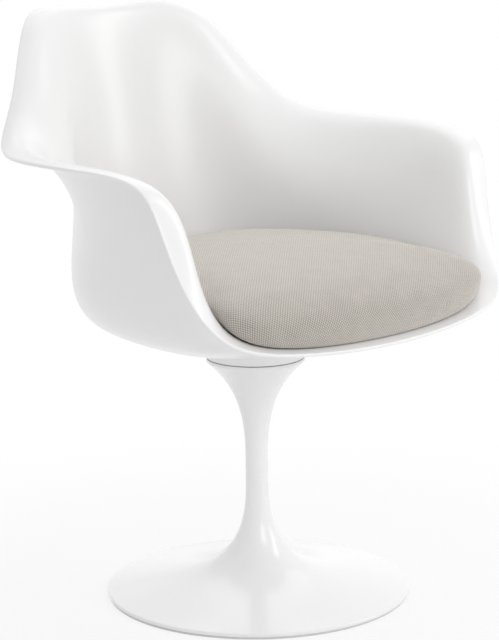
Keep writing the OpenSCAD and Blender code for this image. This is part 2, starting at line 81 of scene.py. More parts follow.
LIP_HEIGHT = [0.3, 0.05, 0.25, 0.35, 0.15, 0, 0.2, 0.4, 0.6, 0.3, -0.15, 0.2, 0.75]
HEADINGS = [0, 0.12, 0.23, 0.32, 0.39, 0.445, 0.51, 0.585, 0.665, 0.74, 0.815, 0.905, 1]
LOW_SWELL = [-0.6, -0.5, -0.35, -0.1, 0.05, 0.05, 0, -0.1, -0.4, -0.7, -0.45, -0.25, 0]
HIGH_SWELL = [-0.55, -0.3, -0.1, 0.15, 0.35, 0.15, -0.75, -2, -3, -2.65, -1.4, -0.3, 0.35]
STATIONS = 24
FLAT_RING = 1
LAST_RING = 7
LIP_RINGS = 2
SHELL_COLUMNS = 12
SHELL_ROWS = 10
FIRST_SHELL_ROW = 5
HOLE_RING = 0.22
EDGE_ROWS = 6
EDGE_STEP = 0.1
EDGE_FLATNESS = 3

UNDER_Z = SEAM_Z + COLLAR_H
FLOOR_Z = UNDER_Z + FLOOR_T

# The pedestal casting
FOOT_R = 0.213
STEM_R = 0.016
CUP_R = 0.069
SEAM_GAP = 0.001
CAST_T = 0.005
CUP_LIP_H = 0.004
FOOT_TOP_Z = 0.008
GLIDE_STAND = 0.002
GLIDE_TOP = 0.0035
GLIDE_W = 0.014
EDGE_ROUND = 0.0015
STEM_LOW_SHARE = 0.46
STEM_HIGH_SHARE = 0.59
FOOT_HANDLE_ACROSS = 0.38
FOOT_HANDLE_UP = 0.16
STEM_HANDLE_UP = 0.13
NECK_HANDLE_UP = 0.56
CUP_HANDLE_ACROSS = 0.44
CUP_HANDLE_UP = 0.8
BORE_R = 0.01605
BOSS_R = 0.02405
BOSS_FLANGE_R = 0.03405
BOSS_FLANGE_H = 0.012
BOSS_DEPTH = 0.013
CUP_FLOOR_DEPTH = 0.042
WELL_DEPTH = 0.075
RIB_T = 0.004
RIB_STEP = 4
FOOT_RIBS = 6
CUP_RIBS = 3
BENDS = 64
TURNS = 192
SHARP_DEGREES = 40

# The cushion on the shell: where its seam lies up the net, how far its side swells past the seam,
# and how high its widest line runs, each at the thirteen stations
CUSHION_H = 0.1355
CUSHION_LIFT = 0.0039
CUSHION_GAP = 0.0015
CUSHION_SWELL = 0.012
TOP_POWER = 2.0
CUSHION_REACH = [0.93, 0.93, 0.855, 0.634, 0.578, 0.513, 0.49, 0.45, 0.455, 0.455, 0.445, 0.43, 0.43]
CUSHION_SWELLS = [0.5, 0.6, 1.4, 0.3, 0.55, 0.53, 0.76, 0.8, 0.7, 0.7, 0.8, 0.8, 0.8]
CUSHION_BELT = [0.3, 0.3, 0.26, 0.19, 0.33, 0.51, 0.55, 0.58, 0.52, 0.42, 0.4, 0.4, 0.4]
CUSHION_COLUMNS = 8
CROWN_ROWS = 48
SIDE_ROWS = 16
UNDER_ROWS = 24
FLOOR_ROWS = 6
CUSHION_SEAM_GAP = 0.0035
COVER_T = 0.0012
SLACK = 0.0015
SWELL_CAP = 0.0015
EVENING = 12
CLOTH_PRESSURE = 4
CLOTH_QUALITY = 4
CLOTH_FRAMES = 20
TINY = 1e-9

# Coats: tones, roughness, and drifts and ripples in waves a metre
GEL = {
    "tones": (0.89, 0.91), "drift": 7, "roughness": (0.3, 0.36), "gloss_drift": 12,
    "coat": 0.6, "coat_roughness": 0.24, "ripple": 55, "depth": 0.00006, "strength": 0.6,
}
SATIN = {
    "tones": (0.9, 0.92), "drift": 9, "roughness": (0.2, 0.26), "gloss_drift": 20,
    "coat": 0.5, "coat_roughness": 0.12, "ripple": 350, "depth": 0.00001, "strength": 0.5,
}
DRIFT_DETAIL = 1
NOISE_DETAIL = 2
BLUE_LOSS = 1.5

# Moulded plastic and foam
PLASTIC_ROUGHNESS = 0.45
PLASTIC_SPREAD = 0.05
PLASTIC_DRIFT = 40
PLASTIC_SHADE = 0.94
PLASTIC_GRAIN = 700
PLASTIC_GLOSS_GRAINS = 4
GRAIN_DEPTH = 0.00004
GLIDE_TONE = 0.7
BUSH_TONE = 0.75
ZIP_TONE = 0.4
PLASTIC_WARMTH = 0.03
ZIP_ROUGHNESS = 0.5
FOAM_COLOUR = (0.8, 0.74, 0.5, 1)
FOAM_ROUGHNESS = 0.9
FOAM_GRAIN = 300

# Turned metal
STEEL_TONE = 0.55
BRONZE_COLOUR = (0.55, 0.36, 0.14, 1)
METAL_ROUGHNESS = 0.3
METAL_SPREAD = 0.08
METAL_DRIFT = 50
METAL_SHADE = 0.85
METAL_GLOSS_DRIFT = 200
RINGS = 9000
RING_DEPTH = 0.00001
RING_STRENGTH = 0.4

# Hook and loop tape
# How dark the painted shade in the dents between the tufts is
TUFT_GAP_PAINTED_SHADE = 0.6
TUFT_DEPTH = 0.0005
TAPE_ROUGHNESS = 0.8
HOOK_TONE = 0.75
HOOK_SCALE = 900
LOOP_TONE = 0.55
LOOP_WARMTH = 0.02
LOOP_SCALE = 500

# The woven cover
YARN = 0.0022
COVER_LIGHT = (0.64, 0.588, 0.524, 1)
COVER_DARK = (0.1, 0.091, 0.08, 1)
COVER_ROUGHNESS = 0.65
COVER_SPECULAR = 0.45
SHEEN_ROUGHNESS = 0.65
SHEEN_TINT = (1, 0.95, 0.89, 1)
WOBBLE = 60.0
WOBBLE_SHARE = 0.5
YARN_LIFT = 0.4
YARN_LEVEL = 0.6
CHECK_SHARE = 0.5
# Share of painted yarn shade: the yarns' height makes their crowns lighter and the hollows between them
# darker
PAINTED_YARN_SHADE_SHARE = 0.4
SLUBS = (900, 2)
SLUB_SHARE = 0.3
MOTTLE = (35, 4)
MOTTLE_SHARE = 0.3
TONE_MIDDLE = 0.3
WEAVE_DEPTH = 0.0006
WEAVE_STRENGTH = 0.8

# The studio: each lamp's place, aim, width, height and watts
WHITE = (1, 1, 1, 1)
SURROUND = 0.7
FLOOR_REACH = 40
FLOOR_TONE = 0.9
FLOOR_ROUGHNESS = 0.6
FLOOR_SPECULAR = 0.2
FLOOR_GLOW = 0.75
FADE_START = 0.3
FADE_END = 0.9
LAMPS = {
    "front": ((-0.4, -3.0, 1.6), (0, 0, 0.5), 1.5, 1.5, 16),
    "side": ((2.1, -1.8, 1.9), (0, 0, 0.45), 0.8, 2.4, 16),
    "top": ((1.2, 1.1, 3.0), (0, 0, 0.4), 2.6, 2.6, 13),
    "back": ((2.2, 2.4, 1.2), (0, 0, 0.4), 3.0, 3.0, 5),
}

# A colour mix node's sockets: its factor and two colours, and its result
MIX_SOCKETS = (0, 6, 7)
MIX_RESULT = 2


def linked(name, data):
    """A new object in the scene."""
    obj = bpy.data.objects.new(name, data)
    bpy.context.scene.collection.objects.link(obj)
    return obj


def camera():
    """The camera that the photograph was taken with, worked out from the foot, the seam and the rim."""
    cos_p, sin_p = math.cos(CAMERA_PITCH), math.sin(CAMERA_PITCH)
    a = CAMERA_AZIMUTH + CAMERA_YAW
    forward = Vector((math.sin(a) * cos_p, math.cos(a) * cos_p, -sin_p))
    right = forward.cross(Vector((0, 0, 1))).normalized()
    up = right.cross(forward)
    roll = Matrix.Rotation(CAMERA_ROLL, 3, -forward)
    right, up = roll @ right, roll @ up
    data = bpy.data.cameras.new("camera")
    data.sensor_width = SENSOR_MM
    data.lens = FOCAL_PIXELS * SENSOR_MM / max(IMAGE_W, IMAGE_H)
    data.clip_end = CAMERA_REACH
    cam = linked("camera", data)
    place = Matrix((right, up, -forward)).transposed().to_4x4()
    place.translation = (
        -CAMERA_DISTANCE * math.sin(CAMERA_AZIMUTH),
        -CAMERA_DISTANCE * math.cos(CAMERA_AZIMUTH),
        CAMERA_HEIGHT,
    )
    cam.matrix_world = place
    bpy.context.scene.camera = cam


def blend4(t):
    """Weights of four neighbours in a uniform cubic blend, and their slopes."""
    weights = np.array([(1 - t) ** 3, 3 * t**3 - 6 * t**2 + 4, -3 * t**3 + 3 * t**2 + 3 * t + 1, t**3]) / 6
    slopes = np.array([-((1 - t) ** 2), 3 * t**2 - 4 * t, -3 * t**2 + 2 * t + 1, t**2]) / 2
    return weights, slopes


def weights_round(places):
    """Rows of weights over the stations, which close on themselves, and of their slopes."""
    value, slope = np.zeros((2, len(places), STATIONS))
    for row, u in enumerate(places):
        start = math.floor(u)
        for parts, into in zip(blend4(u - start), (value, slope)):
            for k, part in enumerate(parts):
                into[row, (start + k - 1) % STATIONS] += part
    return value, slope


def weights_up(places):
    """Rows of weights over the rings, which run straight on past both ends, and of their slopes."""
    value, slope = np.zeros((2, len(places), LAST_RING + 1))
    for row, v in enumerate(places):
        start = min(math.floor(v), LAST_RING - 1)
        for parts, into in zip(blend4(v - start), (value, slope)):
            for k, part in enumerate(parts):
                j = start + k - 1
                if j < 0:
                    into[row, 0] += 2 * part
                    into[row, 1] -= part
                elif j > LAST_RING:
                    into[row, LAST_RING] += 2 * part
                    into[row, LAST_RING - 1] -= part
                else:
                    into[row, j] += part
    return value, slope


def flat_unit(p):
    """The level direction from the swivel axis to a point."""
    return np.array([p[0], p[1], 0]) / (math.hypot(p[0], p[1]) or 1)


def station(k):
    """Rings of the net at one station: pole, flat, floor, bowl, lower wall, upper wall, crest, edge."""
    rim_z = UNDER_Z + RIM_HEIGHT[k] * SHELL_RISE
    rim = np.array([RIM_ACROSS[k] * SHELL_W / 2, RIM_ALONG[k] * SHELL_D, rim_z])
    crest = rim + LIP_W * np.array([LIP_ACROSS[k], LIP_ALONG[k], LIP_HEIGHT[k]])
    s, c = math.sin(HEADINGS[k] * math.pi), math.cos(HEADINGS[k] * math.pi)
    q = (abs(s) ** BOWL_POWER + abs(c) ** BOWL_POWER) ** (-1 / BOWL_POWER)
    depth = BOWL_FRONT_D if c > 0 else BOWL_BACK_D
    bowl = np.array([BOWL_HALF_W * s * q, -depth * c * q, FLOOR_Z + BOWL_CLIMB])
    heading = np.array([s, -c, 0])
    pole = np.array([0, 0, FLOOR_Z])
    flat = pole + FLOOR_R * FLAT_RING_SHARE * heading
    walls = []
    for share, swell in ((LOW_WALL_SHARE, LOW_SWELL[k]), (HIGH_WALL_SHARE, HIGH_SWELL[k])):
        p = crest * share + bowl * (1 - share)
        walls.append(p + WALL_SWELL * swell * flat_unit(p))
    return [pole, flat, pole + FLOOR_R * heading, bowl, *walls, crest, rim]


def shell_net():
    """The whole net, with the mirrored stations, as an array of stations by rings by three."""
    half = np.array([station(k) for k in range(STATIONS // 2 + 1)])
    mirrored = half[-2:0:-1] * np.array([-1, 1, 1])
    return np.concatenate([half, mirrored])


NET = shell_net()


def thickness(v):
    """Thickness of the laminate at a height on the net: floor, wall, then down to the free edge."""
    wall = FLOOR_T + (WALL_T - FLOOR_T) * np.clip(v - FLAT_RING, 0, 1)
    return wall + (EDGE_T - WALL_T) * np.clip((v - LAST_RING + LIP_RINGS) / LIP_RINGS, 0, 1)


def shell_points(us, vs):
    """Points of the inside at pairs of places round and up the net, and its normals into the seat."""
    (wu, du), (wv, dv) = weights_round(us), weights_up(vs)
    points, along_u, along_v = (
        (np.tensordot(a, NET, 1) * b[:, :, None]).sum(axis=1) for a, b in ((wu, wv), (du, wv), (wu, dv))
    )
    facing = np.cross(along_v, along_u)
    return points, facing / np.linalg.norm(facing, axis=1, keepdims=True)


def shell_grid(us, vs):
    """The same for a whole grid of places, as arrays of rows by columns by three."""
    points, facing = shell_points(np.tile(us, len(vs)), np.repeat(vs, len(us)))
    shape = (len(vs), len(us), 3)
    return points.reshape(shape), facing.reshape(shape)


def new_object(name, vertices, faces, smooth=True):
    """An object with a mesh of its own, shaded smooth but for its sharp edges."""
    mesh = bpy.data.meshes.new(name)
    mesh.from_pydata([tuple(v) for v in vertices], [], faces)
    mesh.validate()
    if smooth:
        mesh.shade_smooth()
        mesh.set_sharp_from_angle(angle=math.radians(SHARP_DEGREES))
    return linked(name, mesh)


def grid_faces(rows, columns):
    """Faces of a grid whose rows and columns both close on themselves."""
    faces = []
    for r in range(rows):
        below, above = r * columns, (r + 1) % rows * columns
        for i in range(columns):
            j = (i + 1) % columns
            faces.append((below + i, above + i, above + j, below + j))
    return faces


def make_shell():
    """The moulded shell: inside, rounded free edge and outside in one closed skin."""
    us = np.arange(STATIONS * SHELL_COLUMNS) / SHELL_COLUMNS
    vs = np.concatenate([[HOLE_RING], np.arange(FIRST_SHELL_ROW, LAST_RING * SHELL_ROWS + 1) / SHELL_ROWS])
    inside, facing = shell_grid(us, vs)
    outside = inside - thickness(vs)[:, None, None] * facing
    near = shell_grid(us, [LAST_RING - EDGE_STEP])[0][0]
    a, b = inside[-1], outside[-1]
    out = (a - near) / np.linalg.norm(a - near, axis=1, keepdims=True)
    bulge = out * EDGE_T / EDGE_FLATNESS
    turns = np.linspace(0, math.pi, EDGE_ROWS + 2)[1:-1]
    edge = [(a + b) / 2 + (a - b) / 2 * math.cos(t) + bulge * math.sin(t) for t in turns]
    rows = np.concatenate([inside, np.array(edge), outside[::-1]])
    shell = new_object("shell", rows.reshape(-1, 3), grid_faces(len(rows), len(us)))
    dress(shell, coated("gel_coat", GEL))
    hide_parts("seat_shell")
    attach(shell, "seat")


def bezier(points):
    """A smooth curve through four handles, as points."""
    t = np.linspace(0, 1, BENDS + 1)[:, None]
    weights = ((1 - t) ** 3, 3 * t * (1 - t) ** 2, 3 * t**2 * (1 - t), t**3)
    return sum(w * np.array(p) for w, p in zip(weights, points))


def offset_left(curve, distance):
    """The same curve, moved to its left."""
    tangent = np.gradient(curve, axis=0)
    tangent /= np.linalg.norm(tangent, axis=1, keepdims=True)
    return curve + distance * np.stack([-tangent[:, 1], tangent[:, 0]], axis=1)


def lathe(profile):
    """Points and faces of a closed outline of radii and heights, turned round the swivel axis."""
    angles = np.arange(TURNS) * 2 * math.pi / TURNS
    ring = np.stack([np.cos(angles), np.sin(angles)], axis=1)
    points = [(r * c, r * s, z) for r, z in profile[::-1] for c, s in ring]
    return points, grid_faces(len(profile), TURNS)


def rib(outline, angle):
    """Points and faces of a flat rib with its outline in the plane of the axis."""
    n = len(outline)
    across = RIB_T / 2 * np.array([-math.sin(angle), math.cos(angle), 0])
    flat = [np.array([r * math.cos(angle), r * math.sin(angle), z]) for r, z in outline]
    points = [p + across for p in flat] + [p - across for p in flat]
    sides = [(k, (k + 1) % n, n + (k + 1) % n, n + k) for k in range(n)]
    return points, [tuple(range(n))[::-1], tuple(range(n, 2 * n)), *sides]


def ribs(outline, count):
    """A rib's outline set evenly round the axis."""
    return [rib(outline, k * 2 * math.pi / count) for k in range(count)]


def joined(name, parts):
    """One object of several sets of points and faces, with its faces turned outward."""
    points, faces = [], []
    for new_points, new_faces in parts:
        faces += [tuple(i + len(points) for i in f) for f in new_faces]
        points += list(new_points)
    obj = new_object(name, points, faces)
    mesh = bmesh.new()
    mesh.from_mesh(obj.data)
    bmesh.ops.recalc_face_normals(mesh, faces=mesh.faces)
    mesh.to_mesh(obj.data)
    mesh.free()
    return obj


def make_pedestal(finish):
    """The trumpet casting: round foot, slim stem and cup, hollow from below, with its ribs."""
    cup_top = SEAM_Z - SEAM_GAP
    lip_z = cup_top - CUP_LIP_H
    low = SEAM_Z * STEM_LOW_SHARE
    high = SEAM_Z * STEM_HIGH_SHARE
    foot_rise = low - FOOT_TOP_Z
    cup_rise = lip_z - high
    foot = bezier([
        (FOOT_R - EDGE_ROUND, FOOT_TOP_Z),
        (STEM_R + FOOT_HANDLE_ACROSS * (FOOT_R - STEM_R), FOOT_TOP_Z + FOOT_HANDLE_UP * foot_rise),
        (STEM_R, FOOT_TOP_Z + STEM_HANDLE_UP * foot_rise),
        (STEM_R, low),
    ])
    cup = bezier([
        (STEM_R, high),
        (STEM_R, high + NECK_HANDLE_UP * cup_rise),
        (STEM_R + CUP_HANDLE_ACROSS * (CUP_R - STEM_R), high + CUP_HANDLE_UP * cup_rise),
        (CUP_R, lip_z),
    ])
    boss_top = cup_top - BOSS_DEPTH
    flange_z = boss_top - BOSS_FLANGE_H
    cup_floor = cup_top - CUP_FLOOR_DEPTH
    well = boss_top - WELL_DEPTH
    cavity_r = FOOT_R - GLIDE_W - CAST_T
    groove_r = FOOT_R - EDGE_ROUND - GLIDE_W
    foot_in = offset_left(foot, CAST_T)
    foot_in = foot_in[foot_in[:, 0] < cavity_r]
    cup_in = offset_left(cup, CAST_T)
    cup_in = cup_in[(cup_in[:, 1] > cup_floor) & (cup_in[:, 1] < lip_z)]
    edge = [
        (FOOT_R - EDGE_ROUND * (1 - math.cos(t)), FOOT_TOP_Z - EDGE_ROUND * (1 - math.sin(t)))
        for t in np.linspace(0, math.pi / 2, EDGE_ROWS)[:-1]
    ]
    outline = [
        (cavity_r, GLIDE_STAND), (groove_r, GLIDE_STAND), (groove_r, GLIDE_TOP), (FOOT_R, GLIDE_TOP),
        *edge, *foot, *cup,
        (CUP_R, cup_top - EDGE_ROUND / 2), (CUP_R - EDGE_ROUND / 2, cup_top),
        (CUP_R - CAST_T, cup_top), (CUP_R - CAST_T, lip_z),
        *cup_in[::-1],
        (cup_in[0][0], cup_floor), (BOSS_R, cup_floor),
        (BOSS_R, flange_z - BOSS_FLANGE_R + BOSS_R), (BOSS_FLANGE_R, flange_z),
        (BOSS_FLANGE_R, boss_top), (BORE_R, boss_top), (BORE_R, well), (STEM_R - CAST_T, well),
        *foot_in[::-1],
        (cavity_r, foot_in[0][1]),
    ]
    rib_z = FOOT_TOP_Z + CAST_T
    under = [tuple(p) for p in foot_in[::RIB_STEP] if p[1] > rib_z and p[0] > STEM_R]
    foot_rib = [(STEM_R, rib_z), (under[0][0], rib_z), *under, (STEM_R, under[-1][1])]
    beside = [(r + EDGE_ROUND, z) for r, z in cup_in[::RIB_STEP] if z < flange_z]
    within = BOSS_R - EDGE_ROUND
    cup_rib = [(within, cup_floor), *beside, (beside[-1][0], flange_z), (within, flange_z)]
    pedestal = joined("pedestal", [lathe(outline), *ribs(foot_rib, FOOT_RIBS), *ribs(cup_rib, CUP_RIBS)])
    dress(pedestal, finish)
    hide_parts("pedestal_base")
    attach(pedestal, "pedestal")


class Graph:
    """The nodes of a material or a world, added one by one."""

    def __init__(self, owner):
        owner.use_nodes = True
        self.owner = owner
        self.tree = owner.node_tree
        self.shader = self.tree.nodes.get("Principled BSDF")

    def add(self, kind, inputs=(), **settings):
        node = self.tree.nodes.new(kind)
        for key, value in settings.items():
            setattr(node, key, value)
        for key, value in dict(inputs).items():
            self.put(node.inputs[key], value)
        return node

    def put(self, socket, value):
        """Links a socket to another one, or sets its number or colour."""
        if isinstance(value, bpy.types.NodeSocket):
            self.tree.links.new(value, socket)
        else:
            socket.default_value = value

    def math(self, operation, *values):
        node = self.add("ShaderNodeMath", operation=operation)
        for socket, value in zip(node.inputs, values):
            self.put(socket, value)
        return node.outputs[0]

    def noise(self, scale, detail=NOISE_DETAIL, where=None):
        node = self.add("ShaderNodeTexNoise", {"Scale": scale, "Detail": detail})
        self.put(node.inputs["Vector"], where or self.place())
        return node.outputs["Fac"]

    def place(self):
        return self.add("ShaderNodeTexCoord").outputs["Object"]

    def split(self, where):
        """The three coordinates of a place."""
        return self.add("ShaderNodeSeparateXYZ", {0: where}).outputs

    def radius(self, spot):
        """The distance from the swivel axis of a place that is split."""
        return self.math("SQRT", self.math("ADD", *[self.math("POWER", spot[k], 2) for k in (0, 1)]))

    def seen(self):
        """One where the background shows: to the camera, in a reflection or through something."""
        path = self.add("ShaderNodeLightPath").outputs
        bounced = self.math("MAXIMUM", path["Is Glossy Ray"], path["Is Transmission Ray"])
        return self.math("MAXIMUM", path["Is Camera Ray"], bounced)

    def between(self, value, low, high):
        """Turns a value from 0 to 1 into one from low to high."""
        node = self.add("ShaderNodeMapRange", {"Value": value, "To Min": low, "To Max": high})
        return node.outputs["Result"]

    def mix(self, factor, first, second):
        node = self.add("ShaderNodeMix", data_type="RGBA")
        for index, value in zip(MIX_SOCKETS, (factor, first, second)):
            self.put(node.inputs[index], value)
        return node.outputs[MIX_RESULT]

    def bump(self, height, depth, strength=1.0):
        node = self.add("ShaderNodeBump", {"Height": height, "Distance": depth, "Strength": strength})
        self.put(self.shader.inputs["Normal"], node.outputs["Normal"])

    def set(self, **values):
        """Sets or links the shader's sockets, named with underscores for spaces."""
        for key, value in values.items():
            self.put(self.shader.inputs[key.replace("_", " ")], value)


def new_graph(name):
    return Graph(bpy.data.materials.new(name))


def grey(value, warmth=0.0):
    """A near-neutral colour, warmer for a positive warmth."""
    return (value * (1 + warmth), value, value * (1 - BLUE_LOSS * warmth), 1)


def shaded(colour, share):
    """A darker colour of the same hue."""
    return [c * share for c in colour[:3]] + [1]


def coated(name, look):
    """A pale coat: a faint drift of tone and gloss, and the mould's ripple or a spray's orange peel."""
    g = new_graph(name)
    tones = [grey(tone) for tone in look["tones"]]
    g.set(Base_Color=g.mix(g.noise(look["drift"], DRIFT_DETAIL), *tones))
    g.set(Roughness=g.between(g.noise(look["gloss_drift"], DRIFT_DETAIL), *look["roughness"]))
    g.set(Coat_Weight=look["coat"], Coat_Roughness=look["coat_roughness"])
    g.bump(g.noise(look["ripple"], DRIFT_DETAIL), look["depth"], look["strength"])
    return g.owner


def moulded(name, colour, roughness=PLASTIC_ROUGHNESS, grain=PLASTIC_GRAIN):
    """Moulded plastic or foam with a fine sparked grain."""
    g = new_graph(name)
    g.set(Base_Color=g.mix(g.noise(PLASTIC_DRIFT), colour, shaded(colour, PLASTIC_SHADE)))
    gloss = g.noise(grain / PLASTIC_GLOSS_GRAINS)
    g.set(Roughness=g.between(gloss, roughness - PLASTIC_SPREAD, roughness + PLASTIC_SPREAD))
    g.bump(g.noise(grain), GRAIN_DEPTH)
    return g.owner


def turned(name, colour):
    """Turned metal: fine rings round the swivel axis."""
    g = new_graph(name)
    spot = g.split(g.place())
    rings = g.math("SINE", g.math("MULTIPLY", g.math("ADD", g.radius(spot), spot[2]), RINGS))
    g.set(Base_Color=g.mix(g.noise(METAL_DRIFT), colour, shaded(colour, METAL_SHADE)), Metallic=1.0)
    gloss = g.noise(METAL_GLOSS_DRIFT)
    g.set(Roughness=g.between(gloss, METAL_ROUGHNESS - METAL_SPREAD, METAL_ROUGHNESS + METAL_SPREAD))
    g.bump(rings, RING_DEPTH, RING_STRENGTH)
    return g.owner


def tape(name, colour, scale):
    """Hook or loop tape: a dense field of small tufts, with painted shade in the dents between them."""
    g = new_graph(name)
    cells = g.add("ShaderNodeTexVoronoi", {"Scale": scale, "Vector": g.place()}).outputs["Distance"]
    # Darker towards the cell edges: painted shade in the dents between the tufts
    g.set(Base_Color=g.mix(cells, colour, shaded(colour, TUFT_GAP_PAINTED_SHADE)), Roughness=TAPE_ROUGHNESS)
    g.bump(cells, -TUFT_DEPTH)
    return g.owner


def upholstery():
    """Plain weave: yarns cross over and under, with painted light on the yarns' crowns and painted shade
    in the hollows between them, and with slubs and a faint mottle.
    """
    g = new_graph("upholstery")
    spot = g.add("ShaderNodeUVMap", uv_map="weave").outputs["UV"]
    wobble = g.add("ShaderNodeTexNoise", {"Scale": WOBBLE, "Vector": spot}).outputs["Color"]
    most = (YARN * WOBBLE_SHARE,) * 3
    shift = g.add("ShaderNodeVectorMath", {0: wobble, 1: most}, operation="MULTIPLY").outputs[0]
    moved = g.split(g.add("ShaderNodeVectorMath", {0: spot, 1: shift}, operation="ADD").outputs[0])
    a, b = (g.math("DIVIDE", moved[k], YARN) for k in (0, 1))
    waves = [g.math("SINE", g.math("MULTIPLY", yarns, math.pi)) for yarns in (a, b)]
    heights = []
    for this, other, wave, lift in ((a, b, waves[0], YARN_LIFT), (b, a, waves[1], -YARN_LIFT)):
        phase = g.math("MULTIPLY", g.math("ADD", other, g.math("FLOOR", this)), math.pi)
        over = g.math("ADD", g.math("MULTIPLY", g.math("SINE", phase), lift), YARN_LEVEL)
        heights.append(g.math("MULTIPLY", g.math("ABSOLUTE", wave), over))
    height = g.math("MAXIMUM", *heights)
    slubs, mottle = g.noise(*SLUBS, spot), g.noise(*MOTTLE, spot)
    tone = g.math("MULTIPLY", g.math("MULTIPLY", *waves), CHECK_SHARE)
    # The yarns' height adds painted light on their crowns and painted shade in the hollows between them;
    # the slubs and mottle are the cloth's own tone
    for part, share in ((height, PAINTED_YARN_SHADE_SHARE), (slubs, SLUB_SHARE), (mottle, MOTTLE_SHARE)):
        tone = g.math("ADD", tone, g.math("MULTIPLY", g.math("SUBTRACT", part, TONE_MIDDLE), share))
    g.set(Base_Color=g.mix(g.math("ADD", tone, TONE_MIDDLE), COVER_DARK, COVER_LIGHT))
    g.set(Roughness=COVER_ROUGHNESS, Specular_IOR_Level=COVER_SPECULAR)
    g.set(Sheen_Weight=1.0, Sheen_Roughness=SHEEN_ROUGHNESS, Sheen_Tint=SHEEN_TINT)
    g.bump(height, WEAVE_DEPTH, WEAVE_STRENGTH)
    return g.owner


def dress(piece, material):
    """Gives a piece its one material."""
    piece.data.materials.clear()
    piece.data.materials.append(material)


def dress_nodes(satin):
    """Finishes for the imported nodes, which stay in view or show when the cushion is lifted."""
    finishes = (
        (satin, ["seat_hub"]),
        (turned("turned_steel", grey(STEEL_TONE)), [
            "spindle", "retaining_cap", "retaining_cap_screws", "hub_bolt", "hub_bolt_washer",
            "spreader_plate", "shell_screws",
        ]),
        (turned("bearing_bronze", BRONZE_COLOUR), ["thrust_washer"]),
        (moulded("glide_plastic", grey(GLIDE_TONE)), ["glide_ring"]),
        (moulded("bush_plastic", grey(BUSH_TONE, PLASTIC_WARMTH)), ["lower_bush", "upper_bush"]),
        (tape("hook_tape", grey(HOOK_TONE), HOOK_SCALE), ["hook_strips"]),
        (tape("loop_tape", grey(LOOP_TONE, LOOP_WARMTH), LOOP_SCALE), ["loop_strips"]),
        (moulded("zip_plastic", grey(ZIP_TONE, PLASTIC_WARMTH), ZIP_ROUGHNESS), ["cushion_zip"]),
        (moulded("foam", FOAM_COLOUR, FOAM_ROUGHNESS, FOAM_GRAIN), ["cushion_foam"]),
    )
    for finish, names in finishes:
        for name in names:
            dress(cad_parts[name], finish)


def read_points(obj, what):
    """The place (co) or the normal of every point of an object's mesh."""
    values = np.empty(len(obj.data.vertices) * 3)
    obj.data.vertices.foreach_get(what, values)
    return values.reshape(-1, 3)


def put_points(obj, places):
    obj.data.vertices.foreach_set("co", places.ravel())
    obj.data.update()


def evened(obj, moved):
    """Movements of points, each averaged with its neighbours' a few times."""
    ends = np.empty(len(obj.data.edges) * 2, dtype=int)
    obj.data.edges.foreach_get("vertices", ends)
    a, b = ends.reshape(-1, 2).T
    count = np.bincount(ends, minlength=len(moved))[:, None]
    for _ in range(EVENING):
        around = np.zeros_like(moved)
        np.add.at(around, a, moved[b])
        np.add.at(around, b, moved[a])
        moved = (moved + around / count) / 2
    return moved


def swell(obj, free):
    """Draws the cover in, blows it up from inside with its underside held, and caps how far it moves."""
    start = read_points(obj, "co")
    slack = start.copy()
    slack[:free] -= SLACK * read_points(obj, "normal")[:free]
    put_points(obj, slack)
    cloth = obj.modifiers.new("cloth", "CLOTH")
    cloth.settings.use_pressure = True
    cloth.settings.uniform_pressure_force = CLOTH_PRESSURE
    cloth.settings.vertex_group_mass = "held"
    cloth.settings.effector_weights.gravity = 0
    cloth.settings.quality = CLOTH_QUALITY
    cloth.point_cache.frame_end = CLOTH_FRAMES
    scene = bpy.context.scene
    for number in range(1, CLOTH_FRAMES + 1):
        scene.frame_set(number)
    blown = bpy.data.meshes.new_from_object(obj.evaluated_get(bpy.context.evaluated_depsgraph_get()))
    obj.modifiers.clear()
    obj.data = blown
    scene.frame_set(1)
    moved = read_points(obj, "co") - start
    far = np.linalg.norm(moved, axis=1, keepdims=True)
    moved *= np.minimum(1, SWELL_CAP / np.maximum(far, TINY))
    put_points(obj, start + evened(obj, moved))


def round_shares(shares, us):
    """A table of one half's shares, blended smoothly round the whole edge."""
    return weights_round(us)[0] @ np.array(shares + shares[-2:0:-1])


def level(points):
    """Unit directions away from the swivel axis, level."""
    flat = points * np.array([1, 1, 0])
    return flat / np.linalg.norm(flat, axis=1, keepdims=True)


def cushion_rows():
    """Rows of the cushion from its crown down its side, and then in along its underside."""
    us = np.arange(STATIONS * CUSHION_COLUMNS) / CUSHION_COLUMNS
    reach = LAST_RING * round_shares(CUSHION_REACH, us)
    foot, facing = shell_points(us, reach)
    seam = foot + (CUSHION_SEAM_GAP + COVER_T) * facing
    edge = foot + CUSHION_GAP * facing
    crown_z = FLOOR_Z + CUSHION_H
    belt = seam + CUSHION_SWELL * round_shares(CUSHION_SWELLS, us)[:, None] * level(seam)
    belt[:, 2] = seam[:, 2] + round_shares(CUSHION_BELT, us) * (crown_z - seam[:, 2])
    top, under = [], []
    for t in np.linspace(0, math.pi / 2, CROWN_ROWS + 1)[1:]:
        row = belt * math.sin(t) ** (2 / TOP_POWER)
        row[:, 2] = belt[:, 2] + (crown_z - belt[:, 2]) * math.cos(t) ** (2 / TOP_POWER)
        top.append(row)
    for t in np.linspace(math.pi / 2, 0, SIDE_ROWS + 1)[1:]:
        row = edge + (belt - edge) * math.sin(t)
        row[:, 2] = belt[:, 2] - (belt[:, 2] - edge[:, 2]) * math.cos(t)
        top.append(row)
    for w in np.linspace(1, 0, UNDER_ROWS + 1)[1:]:
        places, facing = shell_points(us, FLAT_RING + (reach - FLAT_RING) * w)
        under.append(places + (CUSHION_LIFT + (CUSHION_GAP - CUSHION_LIFT) * w) * facing)
    for share in np.linspace(1, 0, FLOOR_ROWS + 1)[1:-1]:
        under.append(under[UNDER_ROWS - 1] * np.array([share, share, 1]))
    return np.array(top), np.array(under)


